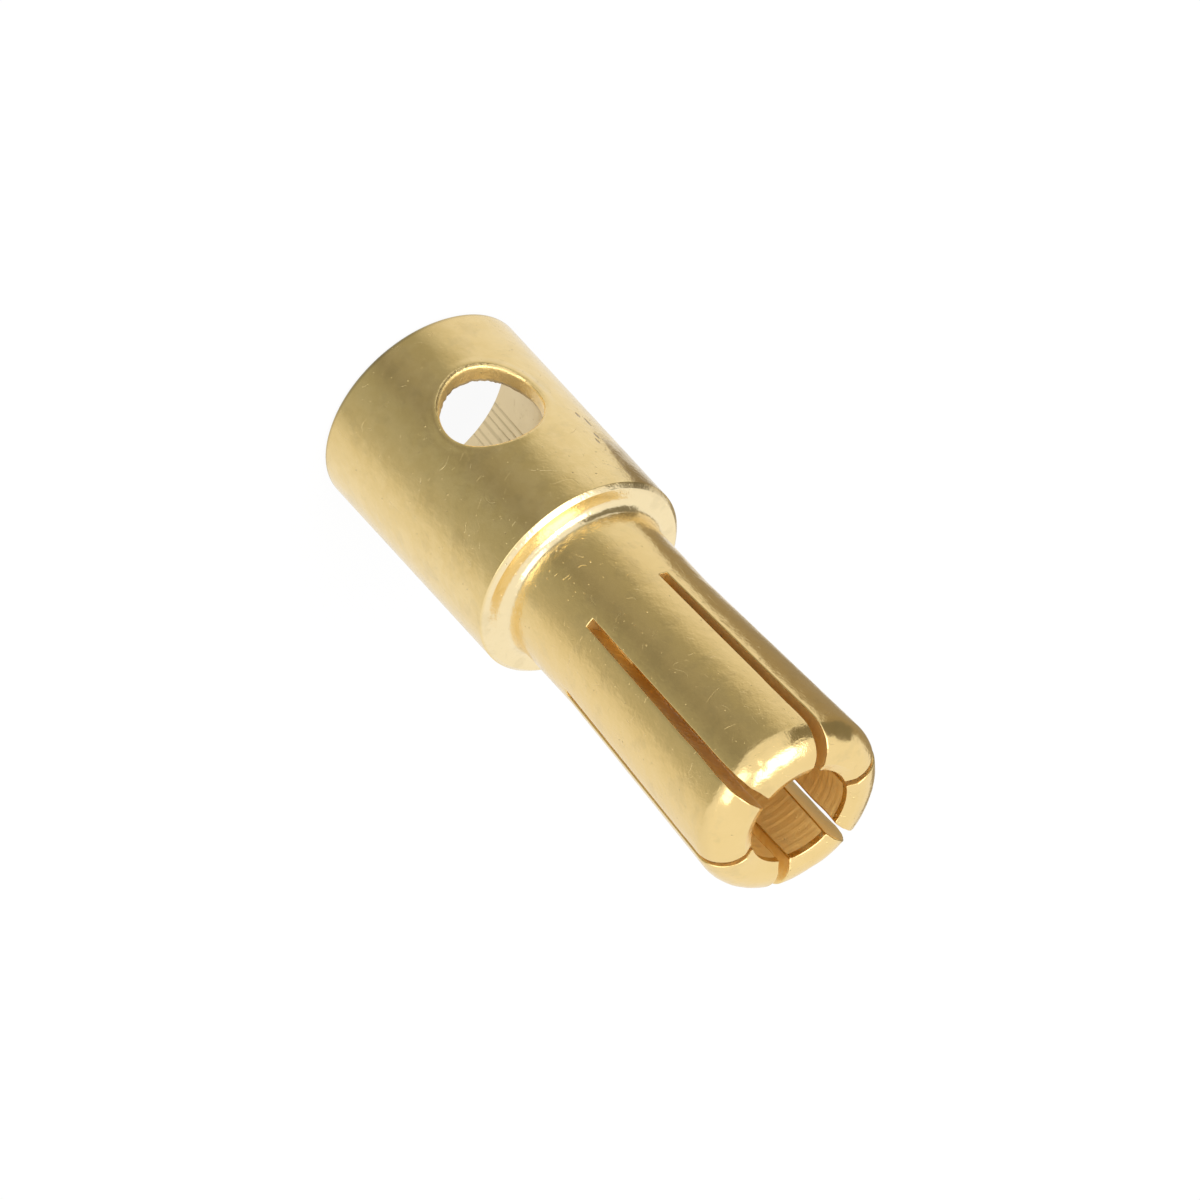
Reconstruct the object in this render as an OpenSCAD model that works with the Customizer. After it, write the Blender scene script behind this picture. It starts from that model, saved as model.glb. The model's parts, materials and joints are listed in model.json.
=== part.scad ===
// Male bullet connector for a battery lead: one turned, drilled and slit brass
// piece. The wire is soldered into the open cup at the bottom, and the six
// spring petals at the top plug into a 4 mm socket.
// The part stands on the mouth of its cup, with its axis on +Z, and the solder
// hole faces -Y.

/* [Solder cup] */
// Outside diameter of the cup
cup_od = 5; // [4.8:0.1:6]
// Height of the cup, from its mouth to the shoulder
cup_len = 6; // [5.6:0.1:8]
// Wall of the cup around its bore
cup_wall = 0.45; // [0.35:0.05:0.6]
// Solid left between the full bore of the cup and the shoulder
cup_floor = 1.3; // [1.2:0.1:1.6]
// Edge break around the outside of the mouth
mouth_chamfer = 0.08; // [0.04:0.02:0.14]
// Edge break around the outside of the shoulder
shoulder_chamfer = 0.1; // [0.04:0.02:0.2]

/* [Solder hole] */
// Diameter of the hole drilled through one side of the cup
hole_d = 2.2; // [1.6:0.1:2.6]
// Height of that hole's centre above the mouth
hole_height = 2.65; // [2.2:0.05:3]

/* [Contact pin] */
// Diameter of the pin where it leaves the shoulder
pin_root_d = 3.8; // [3.4:0.1:4]
// Largest diameter over the petals, at the edge behind the nose
pin_tip_d = 4.36; // [4.1:0.02:4.6]
// Length of the pin, from the shoulder to the tip
pin_len = 8.2; // [7.2:0.1:10]
// Fillet between the pin and the shoulder
pin_fillet = 0.25; // [0.1:0.05:0.35]
// Diameter of the bore drilled into the tip
tip_bore_d = 2.4; // [2:0.1:2.6]
// Solid left between the shoulder and the full bore of the tip
tip_floor = 1.7; // [1.4:0.1:2]

/* [Nose] */
// Radius that rounds each petal over to the tip
nose_r = 0.7; // [0.5:0.05:0.8]
// Width of the flat ring left between that rounding and the countersink
tip_land = 0.05; // [0.02:0.01:0.08]
// Depth of the shallow countersink at the mouth of the tip bore
countersink = 0.1; // [0.05:0.05:0.2]

/* [Slots] */
// Saw cuts across the pin; each one makes two slots
cuts = 3; // [2:1:4]
// Height of the slots' closed end above the shoulder, on the outside
slot_start = 2.2; // [2:0.1:3]
// Width of a slot at its closed end
slot_root_w = 0.21; // [0.15:0.01:0.3]
// Width of a slot at the tip, after the petals are spread
slot_tip_w = 0.29; // [0.2:0.01:0.4]
// Angle of the first cut, round the axis from the solder hole
slot_turn = -18; // [-30:1:30]
// Diameter of the slitting saw, which rounds the closed ends
saw_d = 20; // [14:1:30]

/* [Hidden] */
$fn = 96;

// Full angle of the drill point that ends both bores
drill_point = 118;
// How far a cutting shape runs past what it cuts
past = 1;

length = cup_len + pin_len;
cup_r = cup_od / 2;
cup_bore_r = cup_r - cup_wall;
pin_root_r = pin_root_d / 2;
pin_tip_r = pin_tip_d / 2;
tip_bore_r = tip_bore_d / 2;

// The nose is a quarter round that ends on the tip's land, outside the countersink
nose_z = length - nose_r;
countersink_r = pin_tip_r - nose_r - tip_land;

// The saw's centre lies on the axis, so the closed ends lie on its rim
saw_r = saw_d / 2;
slot_z = cup_len + slot_start;
saw_z = slot_z + sqrt(saw_r * saw_r - pin_root_r * pin_root_r);

// Half outline of the outside: chamfered cup, filleted pin, petals flared as a
// cone from the slots' closed end, and a rounded nose
module outline() {
    difference() {
        union() {
            polygon([
                [0, 0],
                [cup_r - mouth_chamfer, 0],
                [cup_r, mouth_chamfer],
                [cup_r, cup_len - shoulder_chamfer],
                [cup_r - shoulder_chamfer, cup_len],
                [pin_root_r, cup_len],
                [pin_root_r, slot_z],
                [pin_tip_r, nose_z],
                [pin_tip_r, length],
                [0, length]
            ]);
            root_fillet();
        }
        nose_corner();
    }
}

// Concave quarter of a round between the shoulder and the pin
module root_fillet() {
    translate([pin_root_r, cup_len])
        difference() {
            square(pin_fillet);
            translate([pin_fillet, pin_fillet]) circle(pin_fillet);
        }
}

// What the nose radius takes off the square corner of the tip
module nose_corner() {
    translate([pin_tip_r - nose_r, nose_z])
        difference() {
            square(nose_r + past);
            circle(nose_r);
        }
}

// A drilled hole of radius r along +Z from the origin: depth at full size, then
// the cone that the drill's point leaves
module drilled(r, depth) {
    rotate_extrude()
        polygon([[0, -past], [r, -past], [r, depth], [0, depth + r / tan(drill_point / 2)]]);
}

// A cone of radius wide at the origin that narrows to the bore's at the depth
// along +Z; it runs as far past the surface as it goes into it
module countersunk(bore, wide, depth) {
    translate([0, 0, -depth]) cylinder(r1 = 2 * wide - bore, r2 = bore, h = 2 * depth);
}

// One pass of the slitting saw: a round-ended cut across the whole diameter,
// a little wider at the tip, where the petals stand apart
module saw_cut() {
    intersection() {
        rotate([90, 0, 90])
            linear_extrude(height = cup_od, center = true)
                polygon([
                    [-slot_root_w / 2, cup_len],
                    [slot_root_w / 2, cup_len],
                    [slot_root_w / 2, slot_z],
                    [slot_tip_w / 2, length + past],
                    [-slot_tip_w / 2, length + past],
                    [-slot_root_w / 2, slot_z]
                ]);
        translate([0, 0, saw_z]) rotate([90, 0, 0]) cylinder(r = saw_r, h = cup_od, center = true);
    }
}

module bullet_plug() {
    color("#d8b565")
    difference() {
        rotate_extrude() outline();
        drilled(cup_bore_r, cup_len - cup_floor);
        translate([0, 0, hole_height])
            rotate([90, 0, 0]) cylinder(d = hole_d, h = cup_r + past);
        translate([0, 0, length]) mirror([0, 0, 1]) {
            drilled(tip_bore_r, pin_len - tip_floor);
            countersunk(tip_bore_r, countersink_r, countersink);
        }
        for (i = [0 : cuts - 1])
            rotate(slot_turn - 90 + i * 180 / cuts) saw_cut();
    }
}

bullet_plug();
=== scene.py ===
"""A male bullet connector for a battery lead: one turned, drilled and slit piece of gold-plated brass.

It stands on the mouth of its solder cup, with the axis on +Z and the solder hole facing -Y.
"""

import json
from math import cos, pi, radians, sin, sqrt, tan

import bmesh
import bpy
import numpy as np
from mathutils import Matrix, Vector


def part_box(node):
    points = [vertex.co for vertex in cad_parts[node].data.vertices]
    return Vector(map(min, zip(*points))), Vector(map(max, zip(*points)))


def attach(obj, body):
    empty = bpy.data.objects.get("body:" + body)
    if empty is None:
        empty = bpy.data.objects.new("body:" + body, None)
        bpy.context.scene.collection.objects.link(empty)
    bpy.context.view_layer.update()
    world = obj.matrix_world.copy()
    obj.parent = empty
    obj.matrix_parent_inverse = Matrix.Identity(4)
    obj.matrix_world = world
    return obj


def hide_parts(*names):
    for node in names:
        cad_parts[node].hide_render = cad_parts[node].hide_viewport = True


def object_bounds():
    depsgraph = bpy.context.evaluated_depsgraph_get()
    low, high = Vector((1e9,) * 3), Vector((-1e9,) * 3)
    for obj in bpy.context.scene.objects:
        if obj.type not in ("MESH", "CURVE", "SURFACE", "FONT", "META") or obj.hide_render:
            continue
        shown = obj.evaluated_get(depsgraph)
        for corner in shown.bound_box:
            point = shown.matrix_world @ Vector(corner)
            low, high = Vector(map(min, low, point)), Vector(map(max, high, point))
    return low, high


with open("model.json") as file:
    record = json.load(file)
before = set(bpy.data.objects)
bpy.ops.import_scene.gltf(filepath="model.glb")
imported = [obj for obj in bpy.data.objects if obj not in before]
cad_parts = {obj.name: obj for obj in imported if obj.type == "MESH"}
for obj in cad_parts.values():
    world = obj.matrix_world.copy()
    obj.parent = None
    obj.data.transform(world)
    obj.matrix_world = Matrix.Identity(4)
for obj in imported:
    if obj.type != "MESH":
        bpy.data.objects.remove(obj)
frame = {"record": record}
cad_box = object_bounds()
scene = bpy.context.scene
mm = 0.001


# ---- Camera ---------------------------------------------------------------------------------
# A long lens, far enough off that both ends of the part are drawn at nearly the same scale. It
# looks down past the tip of the pin, to the right of the solder hole, and is rolled on its side,
# so that the pin points to the lower right.
view_turn = radians(-62.8)
view_rise = radians(34.21)
view_roll = radians(137.34)
camera_reach = 550 * mm
picture_middle = Vector((-0.223, 0.236)) * mm

part_middle = (Vector(cad_box[0]) + Vector(cad_box[1])) / 2
to_camera = Vector((cos(view_rise) * cos(view_turn), cos(view_rise) * sin(view_turn), sin(view_rise)))
level_right = Vector((0, 0, 1)).cross(to_camera).normalized()
level_up = to_camera.cross(level_right)
picture_right = cos(view_roll) * level_right + sin(view_roll) * level_up
picture_up = cos(view_roll) * level_up - sin(view_roll) * level_right

lens = bpy.data.cameras.new("long_lens")
lens.lens = 787.7
lens.sensor_width = 36
lens.clip_start, lens.clip_end = 10 * mm, 5
camera = bpy.data.objects.new("long_lens", lens)
camera.matrix_world = Matrix((picture_right, picture_up, to_camera)).transposed().to_4x4()
camera.location = (part_middle + to_camera * camera_reach
                   + picture_right * picture_middle.x + picture_up * picture_middle.y)
scene.collection.objects.link(camera)
scene.camera = camera
scene.view_settings.view_transform = "Standard"


# ---- Floor ----------------------------------------------------------------------------------
# A sheet of matt white board under the part. The camera sees it lit from within, so that it stays white, and
# a share of lamp light on it keeps the part's soft shadow. Mirrored in the gold, it's white as well, apart
# from painted shade: a dim front and a dim patch behind the part, which only the gold shows.
floor_reach = 400 * mm
floor_glow = 0.94
mirrored_white = 0.96
front_focus = 1.45 * mm     # where the cup, as a convex mirror, gathers what lies in front of it
front_reach = 45 * mm       # how far from the part the painted shade at the front ends
front_full = 27 * mm        # and up to where it's at its dimmest
patch_behind = (-3.3 * mm, -3.7 * mm)     # where the patch of painted shade sets in behind the part, and is full
patch_beside = (-6.2 * mm, -6.7 * mm)     # and the same to the side of it
patch_shade_colour = (0.38, 0.32, 0.22, 1)
mirrored_front_shade = [          # bearing off the front in degrees, and the floor's colour there
    (-104, (0.96, 0.96, 0.96)),
    (-76, (0.90, 0.89, 0.88)),
    (-60, (0.70, 0.68, 0.60)),
    (-44, (0.43, 0.42, 0.34)),
    (-20, (0.40, 0.39, 0.33)),
    (0, (0.32, 0.31, 0.26)),
    (22, (0.42, 0.42, 0.35)),
    (42, (0.48, 0.48, 0.41)),
    (62, (0.58, 0.57, 0.49)),
    (78, (0.84, 0.82, 0.75)),
    (104, (0.96, 0.96, 0.96)),
]


class Wire:
    """One output socket in a material. Arithmetic on wires adds Math nodes to its node tree."""

    def __init__(self, tree, socket=None):
        self.tree, self.socket = tree, socket

    def node(self, kind, settings=None, inputs=None, output=0):
        """A wire from a new node: its settings are made first, then its sockets are set or linked."""
        made = self.tree.nodes.new(kind)
        for name, value in (settings or {}).items():
            if name == "stops":
                set_stops(made.color_ramp, value)
            else:
                setattr(made, name, value)
        for name, value in (inputs or {}).items():
            if isinstance(value, Wire):
                self.tree.links.new(value.socket, made.inputs[name])
            else:
                made.inputs[name].default_value = value
        return Wire(self.tree, made.outputs[output] if len(made.outputs) else None)

    def other(self, output):
        """A wire from another output of the same node."""
        return Wire(self.tree, self.socket.node.outputs[output])

    def maths(self, operation, *values):
        """A wire from a Math node on the given values."""
        return self.node("ShaderNodeMath", {"operation": operation}, dict(enumerate(values)))

    def applied(self, operation):
        """A wire from a Math node on this wire alone."""
        return self.maths(operation, self)

    def __add__(self, value):
        return self.maths("ADD", self, value)

    def __radd__(self, value):
        return self.maths("ADD", value, self)

    def __sub__(self, value):
        return self.maths("SUBTRACT", self, value)

    def __rsub__(self, value):
        return self.maths("SUBTRACT", value, self)

    def __mul__(self, value):
        return self.maths("MULTIPLY", self, value)

    def __rmul__(self, value):
        return self.maths("MULTIPLY", value, self)

    def __truediv__(self, value):
        return self.maths("DIVIDE", self, value)

    def at_least(self, value):
        """This wire or the value, whichever is larger."""
        return self.maths("MAXIMUM", self, value)

    def ramp(self, low, high):
        """Rises smoothly from 0 at low to 1 at high; low may be the larger of the two."""
        rising = self.node("ShaderNodeMapRange", {"interpolation_type": "SMOOTHSTEP"}, {
            "Value": self, "From Min": min(low, high), "From Max": max(low, high)})
        return rising if low < high else 1 - rising

    def colours(self, first, second):
        """The first colour where this wire is 0, the second where it's 1, and a mix in between."""
        return self.node("ShaderNodeMix", {"data_type": "RGBA"}, {
            "Factor": self, 6: first, 7: second}, output=2)


def set_stops(ramp, stops):
    """Puts a colour ramp's stops at the given (position, colour) pairs."""
    while len(ramp.elements) < len(stops):
        ramp.elements.new(0.5)
    for element, (position, colour) in zip(ramp.elements, stops):
        element.position, element.color = position, colour


def new_material(name):
    """An empty node material, and a wire that its first nodes are made from."""
    material = bpy.data.materials.new(name)
    material.use_nodes = True
    material.node_tree.nodes.clear()
    return material, Wire(material.node_tree)


def grey(level):
    """A plain grey of that level, where 1 is white."""
    return (level, level, level, 1)


floor_corners = np.array([(-1, -1, 0), (1, -1, 0), (1, 1, 0), (-1, 1, 0)]) * floor_reach
floor_mesh = bpy.data.meshes.new("floor")
floor_mesh.from_pydata(floor_corners, [], [(0, 1, 2, 3)])
floor = bpy.data.objects.new("floor", floor_mesh)
scene.collection.objects.link(floor)

white_board, wire = new_material("white_board")
floor_mesh.materials.append(white_board)
path = wire.node("ShaderNodeLightPath", output="Is Camera Ray")
across = wire.node("ShaderNodeSeparateXYZ", inputs={0: wire.node("ShaderNodeTexCoord", output="Object")})
along = across.other("Y")
front = across * cos(view_turn) + along * sin(view_turn)
side = along * cos(view_turn) - across * sin(view_turn)
bearing = side.maths("ARCTAN2", side, front - front_focus)
near_front = wire.node("ShaderNodeValToRGB", {"stops": [
    (0.5 + degrees / 360, (*colour, 1)) for degrees, colour in mirrored_front_shade]}, {
    "Fac": bearing / (2 * pi) + 0.5})
distance = (front * front + side * side).applied("SQRT")
mirrored = distance.ramp(front_reach, front_full).colours(grey(mirrored_white), near_front)
mirrored = (front.ramp(*patch_behind) * side.ramp(*patch_beside)).colours(mirrored, patch_shade_colour)
seen_glow = wire.node("ShaderNodeEmission", inputs={"Color": grey(1.0)})
mirrored_glow = wire.node("ShaderNodeEmission", inputs={"Color": mirrored})
lit_board = wire.node("ShaderNodeBsdfDiffuse", inputs={"Color": grey(0.9)})
seen = path + path.other("Is Transmission Ray")
board = wire.node("ShaderNodeMixShader", inputs={0: seen * floor_glow, 1: lit_board, 2: seen_glow})
board = wire.node("ShaderNodeMixShader", inputs={0: path.other("Is Glossy Ray"), 1: board, 2: mirrored_glow})
wire.node("ShaderNodeOutputMaterial", inputs={"Surface": board})


# ---- Lamps ----------------------------------------------------------------------------------
# Two soft boxes and a pale surround. The box above the camera is what the rounded tips of the
# petals mirror, and the other one stands low to the left.
surround = bpy.data.worlds.new("pale_surround")
surround.use_nodes = True
surround.node_tree.nodes["Background"].inputs["Color"].default_value = grey(1.0)
surround.node_tree.nodes["Background"].inputs["Strength"].default_value = 1.0
scene.world = surround


def aimed(bearing, rise):
    """A direction out from the part, at a bearing off the camera's and a rise over the floor."""
    turn = view_turn + bearing
    return Vector((cos(rise) * cos(turn), cos(rise) * sin(turn), sin(rise)))


def soft_box(name, bearing, rise, reach, width, height, level):
    """A lamp of width by height aimed at the part; its level is its brightness, where 1 is white."""
    lamp = bpy.data.lights.new(name, "AREA")
    lamp.shape = "RECTANGLE"
    lamp.size, lamp.size_y = width, height
    lamp.energy = level * pi * width * height
    box = bpy.data.objects.new(name, lamp)
    box.location = aimed(bearing, rise) * reach
    box.rotation_euler = aimed(bearing, rise).to_track_quat("Z", "Y").to_euler()
    box.visible_camera = False
    scene.collection.objects.link(box)


soft_box("top_box", radians(-34), radians(60), reach=0.3, width=0.22, height=0.2, level=3.0)
soft_box("left_box", radians(30), radians(20), reach=0.3, width=0.22, height=0.17, level=1.8)


# ---- Dim card -------------------------------------------------------------------------------
# A curved card that stands to the right of the part and glows dimly: painted shade, standing for an unlit
# corner of the room. Only the gold mirrors it.
card_bearings = np.radians(np.linspace(-124, -48, 20))
card_reach = 50 * mm
card_top = 36 * mm
card_shade_colour = (0.24, 0.22, 0.17, 1)

# An arc round the part at the card's reach, drawn at the floor and at the card's top
card_turn, card_height = np.meshgrid(card_bearings + view_turn, [0, card_top])
card_points = np.stack((card_reach * np.cos(card_turn), card_reach * np.sin(card_turn), card_height), -1)
corner = np.arange(card_bearings.size - 1)
card_faces = np.stack((corner, corner + 1, corner + 1 + card_bearings.size, corner + card_bearings.size), -1)
card_mesh = bpy.data.meshes.new("dim_card")
card_mesh.from_pydata(card_points.reshape(-1, 3), [], card_faces)
card = bpy.data.objects.new("dim_card", card_mesh)
for ray in ("camera", "diffuse", "transmission", "shadow"):
    setattr(card, "visible_" + ray, False)
scene.collection.objects.link(card)

dim_card, wire = new_material("dim_card")
card_mesh.materials.append(dim_card)
card_glow = wire.node("ShaderNodeEmission", inputs={"Color": card_shade_colour})
wire.node("ShaderNodeOutputMaterial", inputs={"Surface": card_glow})


# ---- Connector ------------------------------------------------------------------------------
# Turned from brass bar on a lathe, with a bore drilled into each end and the solder hole drilled
# through the cup's side. Three passes of a slitting saw part the pin into six petals, which are
# then spread a little. It's gold-plated last, and tumbled in bulk, which mottles the plating.

# Its sizes, in millimetres, as the points of its mesh are until they're joined
top_corner = np.array(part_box("bullet_plug"))[1] / mm
mounts = {mount["name"]: mount for mount in frame["record"]["mounts"]}
cup_bore_r = mounts["solder_cup"]["dims"]["r_mm"]
cup_bore_depth = mounts["solder_cup"]["dims"]["length_mm"]
hole_r = mounts["solder_hole"]["dims"]["r_mm"]
hole_z = mounts["solder_hole"]["pos_m"][2] / mm
cup_len = mounts["shoulder_face"]["pos_m"][2] / mm
length = top_corner[2]
cup_r = top_corner[0]
pin_root_r = 1.9
pin_tip_r = 2.18
pin_fillet = 0.25
tip_bore_r = 1.2
tip_bore_end = cup_len + 1.7
nose_r = 0.7
tip_land = 0.05
countersink = 0.1
slot_z = cup_len + 2.2
flare_z = slot_z + 0.02       # the petals spread from just above the slots' closed ends
slot_root_w = 0.21
slot_tip_w = (0.17, 0.29, 0.29, 0.15, 0.27, 0.29)     # one saw cut has closed up a little
slots = 6
slot_turn = radians(-168)
saw_r = 10.0
mouth_chamfer = 0.08
shoulder_chamfer = 0.1
drill_point = radians(118)

slot_edge = 0.03       # radius on the sawn edges
hole_edge = 0.13       # radius on the solder hole's outer rim
burr_edge = 0.03       # radius on its inner rim, where the drill broke through
edge_waver = 0.0035    # height of the waves along the sawn edges
nose_press = 0.003     # height of the waves over the noses
nose_wave = 1.3        # length of the longest of those
nose_fade = 0.3        # height over which they set in, about the nose's edge
rag_height = 0.011     # how unevenly the drill tore the solder hole's inner rim
burr_height = 0.02     # how far it threw that rim into the cup's bore
dents = (              # petal, share of the way round it, distance past the nose's edge, width, length, depth
    (1, 0.76, 0.30, 0.05, 0.25, 0.024),
    (1, 0.60, 0.16, 0.22, 0.12, 0.014),
    (0, 0.72, 0.30, 0.10, 0.20, 0.025),
    (2, 0.30, 0.45, 0.12, 0.25, 0.022),
    (4, 0.40, 0.60, 0.20, 0.20, 0.022),
)

window = 1.5           # from the solder hole's middle to the rows where its rings of faces begin
window_turn = radians(42)
edge_steps = 4
nose_steps = 18
petal_columns = 36
slot_columns = 6
wall_steps = 8
hole_steps = 6
rim_start = 0.3        # from the tip down to where the rows of the bore's rim begin
arc_growth = 0.06      # how much more radius gives an arc one more step
hair = 1e-6            # less than this apart is the same place

nose_z = length - nose_r
countersink_r = pin_tip_r - nose_r - tip_land
saw_z = slot_z + sqrt(saw_r ** 2 - pin_root_r ** 2)


def towards(start, end):
    """The unit vector from one point to another."""
    return (end - start) / np.hypot(*(end - start))


def turned(corners, spacing=0.2):
    """Half outline of a turned form, as rows of (radius, height).

    Each corner is (radius, height, rounding). A rounded corner becomes an arc tangent to both of
    its legs, and what is left of a leg is divided evenly, in steps no longer than the spacing."""
    corners = np.array(corners, float)
    points, rounding = corners[:, :2], corners[:, 2]
    arcs = [points[:1]]
    for before, corner, after, radius in zip(points[:-2], points[1:-1], points[2:], rounding[1:-1]):
        arc = corner[None]
        if radius:
            back, on = towards(corner, before), towards(corner, after)
            half = np.arccos(back @ on) / 2
            middle = corner + towards(0, back + on) * radius / sin(half)
            tangent_length = radius / tan(half)
            start, end = corner + back * tangent_length - middle, corner + on * tangent_length - middle
            sweep = pi - 2 * half
            share = np.linspace(0, 1, edge_steps + 1 + int(radius / arc_growth))[:, None]
            arc = middle + (np.sin((1 - share) * sweep) * start + np.sin(share * sweep) * end) / sin(sweep)
        arcs.append(arc)
    arcs.append(points[-1:])
    rows = [arcs[0]]
    for last, arc in zip(arcs[:-1], arcs[1:]):
        leg = arc[0] - last[-1]
        steps = max(1, int(np.ceil(np.hypot(*leg) / spacing - hair)))
        rows += [last[-1] + leg * np.linspace(0, 1, steps + 1)[1:-1, None], arc]
    return np.concatenate(rows)


def place(radius, angle, height):
    """Points at a radius from the axis, an angle round it from +X, and a height."""
    radius, angle, height = np.broadcast_arrays(radius, angle, height)
    return np.stack((radius * np.cos(angle), radius * np.sin(angle), height), -1)


def slot_middle(slot):
    """Angle round the axis of a slot's middle plane."""
    return slot_turn + slot * 2 * pi / slots


def across_slot(slot, offset, radius, height):
    """Points beside a slot's middle plane, at an offset from it, a radius and a height."""
    return place(radius, slot_middle(slot) + np.arcsin(offset / radius), height)


def spread(height):
    """Share of the way from the slots' closed end to the tip."""
    return np.clip((height - slot_z) / (length - slot_z), 0, 1)


def slot_half_width(slot, height):
    """Half the width of a slot: as sawn up to its closed end, then changing in a line to the tip."""
    return (slot_root_w + (slot_tip_w[slot] - slot_root_w) * spread(height)) / 2


def saw_rim(radius):
    """Height of a slot's closed end at a radius: the lowest point of the saw's rim there."""
    return saw_z - np.sqrt(saw_r ** 2 - radius ** 2)


def rounded_off(edge):
    """Steps round a quarter circle from a surface into a cut: what is left to the cut, and the depth."""
    turn = np.linspace(0, pi / 2, edge_steps + 1)
    return edge * (1 - np.sin(turn)), edge * (1 - np.cos(turn))


# A petal's outline, from its slot's closed end up the outside to the middle of the tip's land,
# and the inside from the same closed end, in as many rows
nose_turn = np.linspace(0, pi / 2, nose_steps + 1)
nose = np.stack((pin_tip_r - nose_r + nose_r * np.cos(nose_turn), nose_z + nose_r * np.sin(nose_turn)), -1)
land_middle = (countersink_r + tip_land / 2, length)
flare = turned([(pin_root_r, slot_z - slot_edge, 0), (pin_root_r, flare_z, 0), (pin_tip_r, nose_z, 0)])
outside = np.concatenate((flare[:-1], nose, [land_middle]))
rim = turned([
    (tip_bore_r, length - rim_start, 0),
    (tip_bore_r, length - countersink, 0.03),
    (countersink_r, length, 0.02),
    (*land_middle, 0),
], spacing=0.08)
bore_start = saw_rim(tip_bore_r) - slot_edge
straight = np.linspace(bore_start, length - rim_start, len(outside) - len(rim), endpoint=False)
inside = np.concatenate((np.stack((np.full_like(straight, tip_bore_r), straight), -1), rim))
petal = np.concatenate((outside, inside[-2::-1]))
outer_rows = len(outside)
rim_end = outer_rows + len(rim) - 2          # the row where the bore's straight wall begins
facing = slice(-1, outer_rows - 2, -1)       # the inside's rows, in the order of the outside's

# Along the petal's sides the outline is rounded off into the slots, with the saw's rim at its ends
tangent = np.gradient(petal, axis=0)
tangent /= np.hypot(tangent[:, 0], tangent[:, 1])[:, None]
outward = np.stack((tangent[:, 1], -tangent[:, 0]), -1)
slot_gap, slot_depth = rounded_off(slot_edge)
edge_r = petal[:, None, 0] - slot_depth * outward[:, None, 0]
edge_z = petal[:, None, 1] - slot_depth * outward[:, None, 1]
edge_z[[0, -1]] = saw_rim(edge_r[[0, -1]]) - slot_gap
petal_share = np.linspace(0, 1, petal_columns + 1)
wall_share = np.linspace(0, 1, wall_steps + 1)
slot_share = np.linspace(-1, 1, slot_columns + 1)


def between_edges(values):
    """Values over a slot's wall: in a line from the outside's edge to the inside's."""
    return values[:outer_rows] + (values[facing] - values[:outer_rows]) * wall_share


wall_r = between_edges(edge_r[:, -1:])
wall_z = between_edges(edge_z[:, -1:])
wall_z[0] = saw_rim(wall_r[0])

# The sawn edges waver by a few hundredths of a millimetre, most of all near the tip, and each nose
# is a little flattened here and there
travel = np.append(0, np.cumsum(np.hypot(*np.diff(petal, axis=0).T)))
nose_start = travel[len(flare) - 1]
chance = np.random.default_rng(5)
wavelengths = np.geomspace(0.35, 2.4, 9)
edge_phases = chance.uniform(0, 2 * pi, (slots, 2, wavelengths.size))
waver = np.sin(travel[:, None] * 2 * pi / wavelengths + edge_phases[:, :, None, :]) @ (wavelengths ** 0.5)
waver *= edge_waver * spread(petal[:, 1]) ** 2
on_nose = np.clip((petal[:, 1] - nose_z) / nose_fade + 0.5, 0, 1) * (np.arange(len(petal)) < outer_rows)
off_sides = np.sin(pi * petal_share) ** 0.7
wave_numbers = np.arange(1, 5)
nose_phases = chance.uniform(0, 2 * pi, (slots, wave_numbers.size, 2))


def edge_waves(slot, hand):
    """Waves along a slot's edge, by row; hand is -1 before the slot's middle plane and 1 after it."""
    return waver[slot, (hand + 1) // 2][:, None]


def edge_offsets(slot, hand):
    """Offsets of an edge's points from its slot's middle plane: half the slot, the rounding, the waves."""
    return slot_half_width(slot, edge_z) + slot_gap + edge_waves(slot, hand)


def flattened(number):
    """How far a petal's nose is pressed in: a sum of waves round it and over it, none at its sides."""
    phase = nose_phases[number]
    round_it = np.sin(petal_share[:, None] * 2 * pi * wave_numbers + phase[:, 0])
    over_it = np.cos(travel[:, None] * 2 * pi / nose_wave * wave_numbers ** 0.5 + phase[:, 1])
    return nose_press * (1 + (over_it[:, None, :] * round_it).sum(2) / 2) * on_nose[:, None] * off_sides


def dented(number):
    """Depth of a petal's dents: for each, a bell over its place round the nose and along the outline."""
    depth = np.zeros((len(petal), petal_columns + 1))
    for petal_number, middle, start, wide, long, deep in dents:
        if petal_number == number:
            bell = ((petal_share - middle) / wide) ** 2 + ((travel[:, None] - nose_start - start) / long) ** 2
            depth += deep * np.exp(-bell) * off_sides
    return depth


sheets = []      # grids of points, each rows x columns x 3
recessed = []    # for each one, how far it's shut in by the slots or the tip's bore, from 0 to 1
for slot in range(slots):
    before, after = edge_offsets(slot, 1), edge_offsets((slot + 1) % slots, -1)
    first = slot_middle(slot) + np.arcsin(before[:, :1] / edge_r[:, :1])
    last = slot_middle(slot + 1) - np.arcsin(after[:, :1] / edge_r[:, :1])
    pressed = flattened(slot) + dented(slot)
    petal_sheet = place(petal[:, :1] - pressed * outward[:, :1], first + (last - first) * petal_share,
                        petal[:, 1:] - pressed * outward[:, 1:])
    sheets += [petal_sheet[:rim_end], petal_sheet[rim_end - 1:]]
    recessed += [0, 1]
    for hand in (-1, 1):
        edge_offset = edge_offsets(slot, hand)
        wall_offset = slot_half_width(slot, wall_z) + between_edges(edge_waves(slot, hand))
        sheets.append(across_slot(slot, hand * edge_offset, edge_r, edge_z))
        sheets.append(across_slot(slot, hand * wall_offset, wall_r, wall_z))
        recessed += [0, 0.6]
    # The slot's closed end, and its rounded edges outside and in the bore
    sheets.append(across_slot(slot, slot_share * wall_offset[0, 0], wall_r[0][:, None], wall_z[0][:, None]))
    for end in (0, -1):
        sheets.append(across_slot(slot, slot_share * edge_offset[end][:, None], edge_r[end][:, None],
                                  edge_z[end][:, None]))
    recessed += [1, 0, 0]


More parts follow.
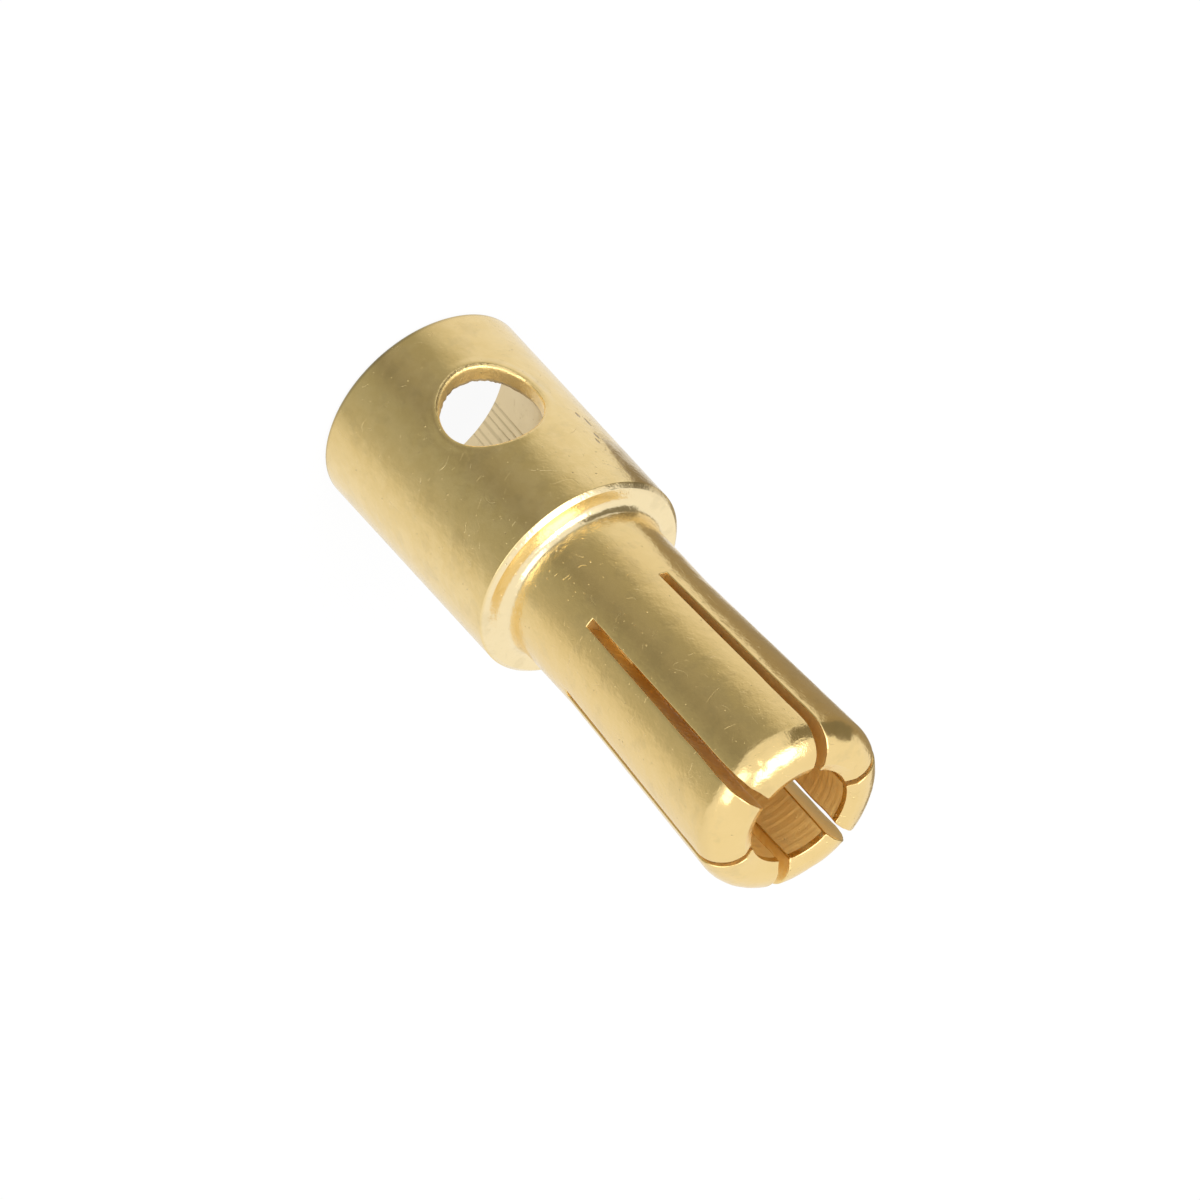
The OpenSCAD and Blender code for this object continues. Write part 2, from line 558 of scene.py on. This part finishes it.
def columns_at(radius):
    """Angles of the columns of faces round the part at a radius, which meet the slots' and petals' own."""
    half = np.arcsin(slot_share * (slot_root_w / 2 + slot_edge) / radius)
    between = half[-1] + (2 * pi / slots - 2 * half[-1]) * petal_share[1:-1]
    one = np.concatenate((half, between))
    return np.append((one + np.arange(slots)[:, None] * 2 * pi / slots).ravel(), 2 * pi + one[0]) + slot_turn


# The rest of the tip's bore, down to the drill's point
tip_bore = turned([
    (tip_bore_r, bore_start, 0),
    (tip_bore_r, tip_bore_end, 0.05),
    (0, tip_bore_end - tip_bore_r / tan(drill_point / 2), 0),
])
sheets.append(place(tip_bore[:, :1], columns_at(tip_bore_r), tip_bore[:, 1:]))
recessed.append(1)

# The cup's bore, the cup, its shoulder and the plain part of the pin
body = turned([
    (0, cup_bore_depth + cup_bore_r / tan(drill_point / 2), 0),
    (cup_bore_r, cup_bore_depth, 0.05),
    (cup_bore_r, hole_z + window, 0),
    (cup_bore_r, hole_z - window, 0),
    (cup_bore_r, 0, 0.04),
    (cup_r - mouth_chamfer, 0, 0.02),
    (cup_r, mouth_chamfer, 0.03),
    (cup_r, hole_z - window, 0),
    (cup_r, hole_z + window, 0),
    (cup_r, cup_len - shoulder_chamfer, 0.02),
    (cup_r - shoulder_chamfer, cup_len, 0.02),
    (pin_root_r, cup_len, pin_fillet),
    (pin_root_r, slot_z - slot_edge, 0),
])
columns = columns_at(pin_root_r)
body_sheet = place(body[:, :1], columns, body[:, 1:])
left, right = (np.abs(columns + pi / 2 + hand * window_turn).argmin() for hand in (1, -1))


def window_rows(wall_radius):
    """The body's rows at the lower and the upper edge of the window round the solder hole."""
    on_wall = np.abs(body[:, 0] - wall_radius) < hair
    return [np.flatnonzero(on_wall & (np.abs(body[:, 1] - edge) < hair))[0]
            for edge in (hole_z - window, hole_z + window)]


def window_loop(wall_radius):
    """Distances round the wall and heights of the points where the body's faces stop short of the
    solder hole, in order from the lower left corner, anticlockwise, back to that corner."""
    bottom, top = window_rows(wall_radius)
    rise = np.linspace(bottom, top, abs(top - bottom) + 1).astype(int)
    run = np.arange(left, right + 1)
    row = np.concatenate((np.full(run.size, bottom), rise[1:], np.full(run.size - 1, top), rise[-2::-1]))
    column = np.concatenate((run, np.full(rise.size - 1, right), run[-2::-1], np.full(rise.size - 1, left)))
    return wall_radius * (columns[column] + pi / 2), body[row, 1]


def on_hole(around, wide, wall_radius):
    """Points of a circle about the hole's axis, where it meets a cylinder round the part's axis."""
    sideways = wide * np.cos(around)
    return place(wall_radius, np.arcsin(sideways / wall_radius) - pi / 2, hole_z + wide * np.sin(around))


def ring_rows(loop, around, wide, wall_radius, raised=0.0, steps=10):
    """Rows of points on the cup's wall from the window's loop to the hole's rim, in straight lines
    on the wall laid flat; they rise steeply towards the axis at the rim, as far as it's raised."""
    share = np.linspace(0, 1, steps + 1)[:, None]
    sideways = loop[0] + (wall_radius * np.arcsin(wide * np.cos(around) / wall_radius) - loop[0]) * share
    height = loop[1] + (hole_z + wide * np.sin(around) - loop[1]) * share
    return place(wall_radius - raised * share ** 6, sideways / wall_radius - pi / 2, height)


# The solder hole: rings of faces on the cup's outside, its rounded rim, its wall, and its torn and
# burred inner rim with rings of faces in the cup's bore
outer_loop, inner_loop = window_loop(cup_r), window_loop(cup_bore_r)
outer_turn, inner_turn = (np.arctan2(loop[1] - hole_z, loop[0]) for loop in (outer_loop, inner_loop))
draw = np.random.default_rng(11)
tears = np.arange(3, 48)       # waves round the hole
phases, heights = draw.uniform(0, 2 * pi, tears.size), draw.normal(0, 1, tears.size) / tears ** 0.6
rag = rag_height * (np.sin(inner_turn[:, None] * tears + phases) @ heights)
burr = burr_height * (1 + np.abs(np.sin(inner_turn[:, None] * tears[::-1] + phases) @ heights))

rim_gap, rim_depth = rounded_off(hole_edge)
outer_rim = on_hole(outer_turn, hole_r + rim_gap[:, None], cup_r - rim_depth[:, None])
burr_gap, burr_depth = (steps[::-1, None] for steps in rounded_off(burr_edge))
inner_rim = on_hole(inner_turn, hole_r + rag + burr_gap, cup_bore_r + burr_depth - burr)
share = np.linspace(0, 1, hole_steps + 1)[1:-1, None]
wall_from, wall_to = cup_r - hole_edge, cup_bore_r + burr_edge - burr
hole_wall = on_hole(outer_turn + (inner_turn - outer_turn) * share, hole_r + rag * share ** 3,
                    wall_from + (wall_to - wall_from) * share)
outer_rings = ring_rows(outer_loop, outer_turn, hole_r + hole_edge, cup_r)
inner_rings = ring_rows(inner_loop, inner_turn, hole_r + burr_edge + rag, cup_bore_r, burr)
sheets.append(np.concatenate((outer_rings[:-1], outer_rim, hole_wall, inner_rim, inner_rings[-2::-1])))
recessed.append(0)

# The body comes last, without the faces inside the window
sheets.append(body_sheet)
recessed.append(0)
body_kept = np.ones((len(body) - 1, len(columns) - 1), bool)
for wall_radius in (cup_r, cup_bore_r):
    first_row, last_row = sorted(window_rows(wall_radius))
    body_kept[first_row:last_row, left:right] = False
face_counts = [(sheet.shape[0] - 1) * (sheet.shape[1] - 1) for sheet in sheets]
faces_kept = np.append(np.ones(sum(face_counts[:-1]), bool), body_kept)
face_recess = np.repeat(np.array(recessed, float), face_counts)


def grid_faces(rows, columns):
    """Four-sided faces of a grid of rows x columns points, numbered row by row."""
    corner = (np.arange(rows - 1)[:, None] * columns + np.arange(columns - 1)).ravel()
    return np.stack((corner, corner + 1, corner + columns + 1, corner + columns), -1)


def joined(name, sheets, kept, recess):
    """A mesh of several grids of points, in millimetres, welded where their edges meet. Of all their
    faces, the kept ones are made, and each keeps its recess in an attribute."""
    faces = [grid_faces(*sheet.shape[:2]) for sheet in sheets]
    starts = np.cumsum([0] + [sheet.size // 3 for sheet in sheets])
    faces = np.concatenate([face + start for face, start in zip(faces, starts)])
    points = np.concatenate([sheet.reshape(-1, 3) for sheet in sheets]) * mm
    mesh = bpy.data.meshes.new(name)
    mesh.from_pydata(points, [], faces[kept])
    mesh.attributes.new("recess", "FLOAT", "FACE").data.foreach_set("value", recess[kept])
    welded = bmesh.new()
    welded.from_mesh(mesh)
    bmesh.ops.remove_doubles(welded, verts=welded.verts, dist=1e-7)
    bmesh.ops.recalc_face_normals(welded, faces=welded.faces)
    welded.to_mesh(mesh)
    welded.free()
    mesh.shade_smooth()
    return mesh


mesh = joined("bullet_connector", sheets, faces_kept, face_recess)
connector = bpy.data.objects.new("bullet_connector", mesh)
scene.collection.objects.link(connector)
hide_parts("bullet_plug")
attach(connector, "root")
trued = connector.modifiers.new("flat_faces_stay_flat", "WEIGHTED_NORMAL")
trued.keep_sharp = True
mesh.set_sharp_from_angle(angle=radians(32))

# The plating: its colours, and the places of its marks in degrees round the axis and millimetres
dull_gold = (0.85, 0.645, 0.295, 1)
bright_gold = (0.89, 0.685, 0.33, 1)
pin_gold = (0.87, 0.64, 0.28, 1)
# painted highlight: the shoulder and fillet's paler gold, which turns their reflections cream-white
shoulder_highlight_gold = (0.93, 0.78, 0.49, 1)
# painted reflection: the dark patch by the shoulder, standing for something dark mirrored there
dark_reflection_gold = (0.44, 0.32, 0.16, 1)
# painted light: the orange of light caught between gold walls, in the slots, the tip's bore and the solder
# hole
bounce_light_gold = (0.97, 0.70, 0.27, 1)
cup_bore_gold = (0.70, 0.57, 0.36, 1)
tarnish = (0.45, 0.36, 0.20, 1)
dirt = (0.25, 0.16, 0.07, 1)
nick_places = (        # angle, height, and half the length and the width
    (-129, 3.56, 0.10, 0.05),
    (-132.3, 3.77, 0.16, 0.05),
    (-128.6, 4.29, 0.12, 0.05),
    (-125.6, 4.48, 0.10, 0.04),
)
flute_places = ((152.2, 1.1), (147.6, 0.9), (143.2, 0.7), (138.6, 1.6), (133.0, 1.0), (128.8, 0.6))
flute_lean = radians(1.0)      # how far the flutes turn in each millimetre up the bore
ring_pitch = 0.19              # of the rings that the drill left in the tip's bore
dark_reflection_foot = 4.4              # height of the painted dark reflection's lower end
dark_reflection_near = radians(-129.8)  # where its sharp edge stands round the cup, at that height
dark_reflection_lean = radians(4.3)     # how far that edge turns in each millimetre up the cup
dark_reflection_far = radians(-156), radians(-146)     # where the patch sets in on its far side, and is full

gold, wire = new_material("gold_plate")
mesh.materials.append(gold)
spot = wire.node("ShaderNodeVectorMath", {"operation": "SCALE"}, {
    0: wire.node("ShaderNodeTexCoord", output="Object"), "Scale": 1 / mm})
east = wire.node("ShaderNodeSeparateXYZ", inputs={0: spot})
north, up = east.other("Y"), east.other("Z")
radius = (east * east + north * north).applied("SQRT")
turn = north.maths("ARCTAN2", north, east)
shut_in = wire.node("ShaderNodeAttribute", {"attribute_name": "recess"}, output="Fac")


def noise(scale, detail=2.0, shift=0.0, stretch=(1, 1, 1)):
    """Cloudy noise around 0.5, in blotches of about 1 / scale millimetres."""
    moved = wire.node("ShaderNodeMapping", inputs={
        "Vector": spot, "Location": (shift, 2 * shift, 3 * shift), "Scale": stretch})
    return wire.node("ShaderNodeTexNoise", inputs={
        "Vector": moved, "Scale": scale, "Detail": detail, "Roughness": 0.6})


def hairs(scale, width, share, shift):
    """Fine curved scratches: contour lines of one noise, where a second noise is high."""
    off_line = noise(scale, 0.0, shift) - 0.5
    line = off_line.applied("ABSOLUTE").ramp(width, width * 0.3)
    return line * noise(scale * 1.7, 1.0, shift + 7).ramp(1 - share, 1.04 - share)


def specks(scale, size, share, shift):
    """Round specks, in a share of the cells of a Voronoi pattern."""
    moved = wire.node("ShaderNodeMapping", inputs={"Vector": spot, "Location": (shift, shift, shift)})
    cell = wire.node("ShaderNodeTexVoronoi", inputs={"Vector": moved, "Scale": scale})
    drawn = wire.node("ShaderNodeSeparateXYZ", inputs={0: cell.other("Color")})
    return cell.ramp(size, size * 0.5) * drawn.ramp(share, share - 0.01)


# The cup's bore, its mouth's worn edge, and the shoulder and fillet, whose paler gold is a painted highlight
in_cup = radius.ramp(cup_bore_r + 0.06, cup_bore_r + 0.03) * up.ramp(cup_len - 0.3, cup_len - 0.5)
worn_mouth = up.ramp(0.16, 0.08) * radius.ramp(cup_r - 0.16, cup_r - 0.1)
shoulder_highlight = (radius.ramp(pin_root_r - 0.05, pin_root_r) * up.ramp(cup_len - 0.12, cup_len - 0.04)
               * up.ramp(cup_len + 0.4, cup_len + 0.2))

# The solder hole's wall, and the lip that the drill has thrown up round it
off_hole = (east * east + (up - hole_z) * (up - hole_z)).applied("SQRT")
lip = off_hole.ramp(hole_r + 0.30, hole_r + 0.10) * north.ramp(0, -1)
in_hole = off_hole.ramp(hole_r + 0.06, hole_r) * north.ramp(0, -1)

# Dark nicks beside the hole
nicks = 0
for degrees, height, long, wide in nick_places:
    sideways = (turn - radians(degrees)) * cup_r / wide
    lengthways = (up - height) / long
    nicks = nicks + (sideways * sideways + lengthways * lengthways).ramp(1.0, 0.3) * (1 - shut_in)
nicks = nicks * radius.ramp(cup_r - 0.1, cup_r - 0.05)

# A patch between the nicks and the shoulder, painted dark with a sharp edge: a painted reflection of
# something dark beside the part
dark_reflection_edge = (up - dark_reflection_foot) * dark_reflection_lean + dark_reflection_near
dark_reflection = ((dark_reflection_edge - turn).ramp(0, radians(1.2)) * turn.ramp(*dark_reflection_far)
          * up.ramp(dark_reflection_foot - 0.12, dark_reflection_foot) * up.ramp(cup_len + 0.02, cup_len - 0.05)
          * radius.ramp(cup_r - 0.2, cup_r - 0.1))

# Flutes in the cup's bore, where a chip dragged along it
flutes = 0
for degrees, wide in flute_places:
    off_flute = (turn + up * flute_lean - radians(degrees)).applied("ABSOLUTE")
    flutes = flutes + off_flute.ramp(radians(wide), radians(wide * 0.3))
flutes = flutes * in_cup * up.ramp(1.9, 1.2)

# What covers the whole plating, from broad clouds to fine scratches and pits, and the marks of the
# lathe, the drill and the saw
cloud = noise(0.9, 2.0, 5.0)
mottle = noise(2.6, 4.0)
smudge = noise(1.6, 5.0, 13.0).ramp(0.52, 0.66)
dimples = noise(7.0, 2.0, 17.0)
grain = noise(16.0, 3.0, 9.0)
scratches = hairs(1.3, 0.009, 0.4, 3.0) + hairs(2.1, 0.008, 0.42, 11.0)
bits = specks(6.0, 0.14, 0.15, 2.0) + specks(11.0, 0.17, 0.10, 6.0)
pits = specks(7.0, 0.14, 0.08, 4.0)
lathe = noise(1.0, 3.0, 1.0, (0.25, 0.25, 28.0))
rings = (up * (2 * pi / ring_pitch) + noise(1.5, 1.0, 8.0) * 5).applied("SINE")
tool_marks = noise(1.0, 3.0, 5.0, (0.4, 0.4, 9.0))

# Heights in thousandths of a millimetre
relief = (cloud * 14 + mottle * 16 + dimples * 4.5 + grain * 2.3 + lathe * 1.2
          + bits * 8 - pits * 5 - scratches * 2 - nicks * 12 - flutes * 9 + lip * 22
          + shut_in * (rings * 2 + tool_marks * 16) + in_hole * (grain * 9 + dimples * 14))
bump = wire.node("ShaderNodeBump", inputs={"Height": relief, "Distance": 0.001 * mm})

colour = mottle.ramp(0.36, 0.64).colours(dull_gold, bright_gold)
colour = (up.ramp(cup_len, cup_len + 1.5) * 0.7).colours(colour, pin_gold)
# Painted highlight: the shoulder and fillet are paler, so that they mirror cream-white
colour = (shoulder_highlight * 0.8).colours(colour, shoulder_highlight_gold)
# Painted reflection: a dark patch by the shoulder, with a sharp edge
colour = (dark_reflection * 0.5).colours(colour, dark_reflection_gold)
# Painted light: in the slots, the tip's bore and the solder hole's wall, a more orange gold stands for light
# caught between the gold walls
colour = shut_in.at_least(in_hole * 0.8).colours(colour, bounce_light_gold)
colour = (in_cup * 0.8).colours(colour, cup_bore_gold)
colour = (smudge * 0.13 + worn_mouth * 0.6 + flutes * 0.5).colours(colour, tarnish)
colour = (pits * 0.6).at_least(nicks * 0.7).colours(colour, dirt)

roughness = (0.17 + mottle.ramp(0.3, 0.7) * 0.06 + scratches * 0.06
             + shut_in * 0.24 + in_hole * 0.16 + in_cup * 0.12)
shader = wire.node("ShaderNodeBsdfPrincipled", inputs={
    "Base Color": colour, "Metallic": 1 - shut_in * 0.24 - in_hole * 0.36, "Roughness": roughness,
    "Normal": bump})
wire.node("ShaderNodeOutputMaterial", inputs={"Surface": shader})
